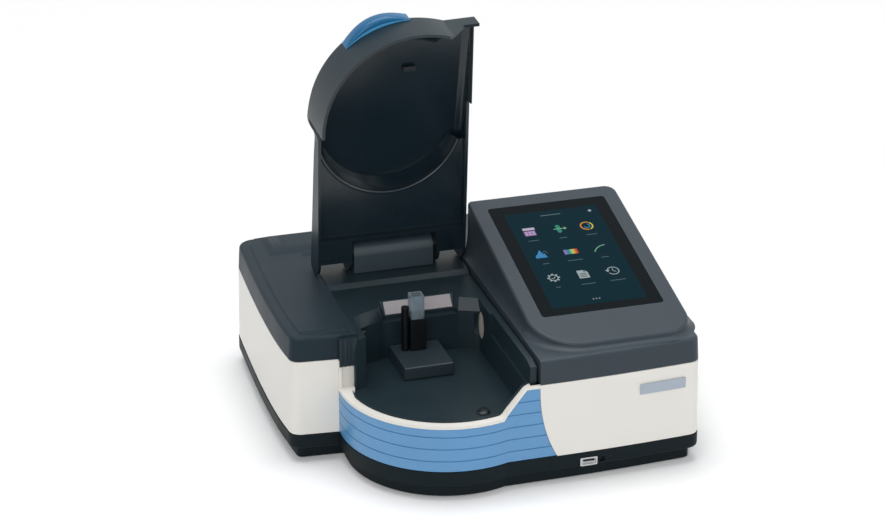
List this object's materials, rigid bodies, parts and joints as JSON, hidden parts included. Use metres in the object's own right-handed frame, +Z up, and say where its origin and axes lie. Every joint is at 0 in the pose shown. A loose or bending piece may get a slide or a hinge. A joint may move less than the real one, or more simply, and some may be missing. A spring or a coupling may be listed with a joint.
{
  "type": "uv-vis spectrophotometer",
  "caption": "Benchtop UV and visible spectrophotometer, white and dark grey, blue band round the sample bay, tilted touch display, lid standing open",
  "frame": {"origin": "on the bench, under the middle of the instrument as seen from above", "axes": "+X to the right as a user faces the front, +Y to the rear, +Z up"},
  "size_m": [0.375, 0.3572, 0.4007],
  "materials": {
    "white_shell": "satin white painted plastic",
    "dark_cover": "satin dark slate grey",
    "dark_lid": "satin charcoal",
    "black_tray": "fine grained black",
    "base_grey": "fine grained near black",
    "blue_band": "satin sky blue",
    "display_glass": "clear cover glass with a black border",
    "lcd": "display module with a metal back",
    "quartz": "clear polished quartz",
    "steel": "plain sheet steel",
    "aluminium": "milled aluminium",
    "grey_plate": "plain warm grey",
    "ivory_window": "smooth ivory",
    "rubber": "matt black rubber",
    "circuit_board": "green solder mask",
    "mirror_coat": "first surface mirror"
  },
  "bodies": {
    "chassis": {"base_tray": "base_grey", "foot_front_left": "rubber", "foot_bay": "rubber", "foot_front_right": "rubber", "foot_rear_left": "rubber", "foot_rear_right": "rubber", "case_shell": "white_shell", "front_band": "blue_band", "left_cover": "dark_cover", "right_cover": "dark_cover", "display_glass": "display_glass", "lcd_panel": "lcd", "display_board": "circuit_board", "well_tray": "black_tray", "beam_window_right": "ivory_window", "beam_window_left": "ivory_window", "hinge_block": "dark_lid", "cell_holder_base": "black_tray", "cell_holder_tower": "black_tray", "cell_clamp_post": "black_tray", "well_plate": "grey_plate", "floor_dome": "rubber", "usb_port_front": "steel", "label_plate": "grey_plate", "rear_panel": "steel", "power_inlet": "black_tray", "power_switch_frame": "black_tray", "usb_port_rear": "steel", "lan_port_rear": "steel", "fan_frame": "black_tray", "panel_screw_left": "steel", "panel_screw_right": "steel", "optics_plate": "aluminium", "monochromator_housing": "aluminium", "monochromator_lid": "aluminium", "exit_slit": "steel", "entrance_slit": "steel", "grating_motor": "black_tray", "fold_mirror": "mirror_coat", "beam_splitter": "quartz", "reference_detector": "black_tray", "sample_detector": "black_tray", "lamp_housing": "aluminium", "xenon_lamp": "steel", "filter_motor": "black_tray", "power_supply": "steel", "main_board": "circuit_board"},
    "lid": {"lid_shell": "dark_lid", "lid_liner": "dark_lid", "lid_grip": "blue_band", "lid_magnet": "steel", "hinge_pin_left": "steel", "hinge_pin_right": "steel"},
    "sample_cell": {"cuvette": "quartz"},
    "rocker": {"power_rocker": "black_tray"},
    "rotor": {"fan_rotor": "black_tray"},
    "grating_mount": {"grating": "mirror_coat"},
    "filters": {"filter_wheel": "black_tray"}
  },
  "joints": [
    {"name": "lid_hinge", "type": "hinge", "parent": "chassis", "child": "lid", "pos_m": [-0.048, 0.0766, 0.146], "axis": [1, 0, 0], "range_deg": [0, 86]},
    {"name": "cuvette_lift", "type": "slide", "parent": "chassis", "child": "sample_cell", "axis": [0, 0, -1], "range_m": [-0.04, 0]},
    {"name": "power_rocker_turn", "type": "hinge", "parent": "chassis", "child": "rocker", "pos_m": [0.088, 0.17625, 0.056], "axis": [1, 0, 0], "range_deg": [-16, 0]},
    {"name": "fan_spin", "type": "hinge", "parent": "chassis", "child": "rotor", "pos_m": [-0.003, 0.1708, 0.066], "axis": [0, 1, 0], "continuous": true},
    {"name": "grating_turn", "type": "hinge", "parent": "chassis", "child": "grating_mount", "pos_m": [0.085, 0.045, 0.09], "axis": [0, 0, 1], "range_deg": [-20, 20]},
    {"name": "filter_wheel_turn", "type": "hinge", "parent": "chassis", "child": "filters", "pos_m": [0.11, 0.087, 0.0955], "axis": [0, 1, 0], "continuous": true}
  ]
}
